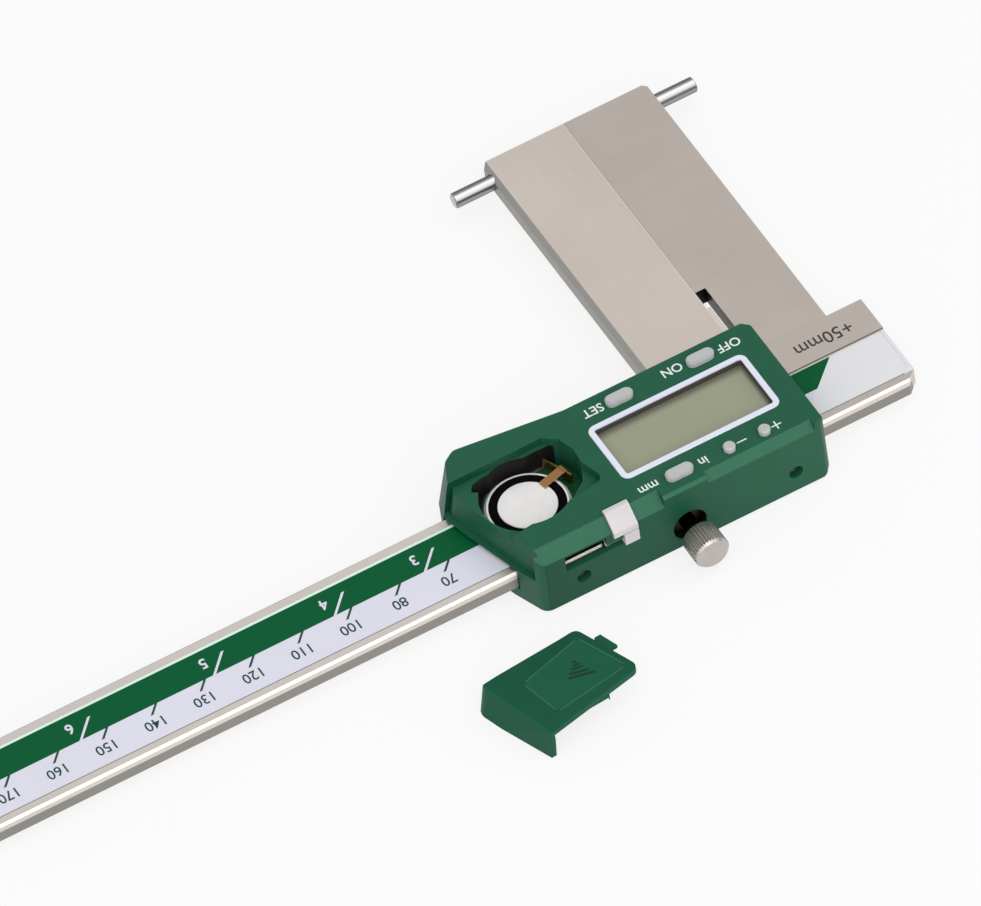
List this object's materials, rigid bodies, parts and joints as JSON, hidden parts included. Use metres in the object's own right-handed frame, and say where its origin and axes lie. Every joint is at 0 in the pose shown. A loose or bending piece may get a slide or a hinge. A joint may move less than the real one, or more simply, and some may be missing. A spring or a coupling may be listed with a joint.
{
  "type": "inside point caliper",
  "caption": "Electronic inside caliper with long flat jaws that end in outward measuring pins, its battery cover taken off.",
  "frame": {"origin": "below the middle of the whole, on the surface that it lies on", "axes": "+X along the beam towards its free end, +Y across the beam towards the lock screw, +Z out of the display face"},
  "size_m": [0.301, 0.1246, 0.0161],
  "materials": {
    "ground_steel": "fine ground satin steel",
    "polished_steel": "polished hardened steel",
    "knob_steel": "turned and knurled, satin",
    "screw_steel": "plain steel",
    "cover_steel": "brushed sheet steel",
    "cell_steel": "bright nickel-plated steel",
    "bronze": "bare spring bronze",
    "printed_label": "satin printed film",
    "green_plastic": "fine-grained moulded plastic",
    "grey_plastic": "satin moulded plastic",
    "black_plastic": "moulded plastic",
    "white_frame": "glossy printed plastic",
    "lcd": "grey-olive reflective display",
    "board": "solder-masked glass-epoxy board",
    "elastomer": "conductive rubber"
  },
  "bodies": {
    "beam_body": {"beam": "ground_steel", "scale_label": "printed_label", "fixed_pin": "polished_steel", "end_stop": "ground_steel", "end_stop_screws": "screw_steel", "battery_cover": "green_plastic"},
    "slider": {"moving_pin": "polished_steel", "slider_frame": "ground_steel", "gib_strip": "bronze", "gib_screws": "screw_steel", "housing": "green_plastic", "housing_screws": "screw_steel", "back_cover": "cover_steel", "back_screws": "screw_steel", "stator_board": "board", "circuit_board": "board", "elastomer_strips": "elastomer", "lcd_panel": "lcd", "lcd_frame": "white_frame", "tact_switches": "black_plastic", "data_connector": "polished_steel", "coin_cell": "cell_steel", "contact_positive": "bronze", "contact_negative": "bronze"},
    "lock_knob": {"lock_screw": "knob_steel"},
    "port_shutter": {"port_cover": "grey_plastic"},
    "button_on_off_body": {"button_on_off": "grey_plastic"},
    "button_set_body": {"button_set": "grey_plastic"},
    "button_unit_body": {"button_unit": "grey_plastic"},
    "button_minus_body": {"button_minus": "grey_plastic"},
    "button_plus_body": {"button_plus": "grey_plastic"}
  },
  "joints": [
    {"name": "slider_travel", "type": "slide", "parent": "beam_body", "child": "slider", "axis": [1, 0, 0], "range_m": [0, 0.2]},
    {"name": "lock_screw_turn", "type": "hinge", "parent": "slider", "child": "lock_knob", "pos_m": [-0.0987, 0.03775, 0.0051], "axis": [0, 1, 0], "range_deg": [-180, 180]},
    {"name": "port_cover_slide", "type": "slide", "parent": "slider", "child": "port_shutter", "axis": [1, 0, 0], "range_m": [0, 0.0086]},
    {"name": "button_on_off_press", "type": "slide", "parent": "slider", "child": "button_on_off_body", "axis": [0, 0, -1], "range_m": [0, 0.0005], "stiffness_N_per_m": 600, "springref_m": -0.0005},
    {"name": "button_set_press", "type": "slide", "parent": "slider", "child": "button_set_body", "axis": [0, 0, -1], "range_m": [0, 0.0005], "stiffness_N_per_m": 600, "springref_m": -0.0005},
    {"name": "button_unit_press", "type": "slide", "parent": "slider", "child": "button_unit_body", "axis": [0, 0, -1], "range_m": [0, 0.0005], "stiffness_N_per_m": 600, "springref_m": -0.0005},
    {"name": "button_minus_press", "type": "slide", "parent": "slider", "child": "button_minus_body", "axis": [0, 0, -1], "range_m": [0, 0.0005], "stiffness_N_per_m": 600, "springref_m": -0.0005},
    {"name": "button_plus_press", "type": "slide", "parent": "slider", "child": "button_plus_body", "axis": [0, 0, -1], "range_m": [0, 0.0005], "stiffness_N_per_m": 600, "springref_m": -0.0005}
  ]
}
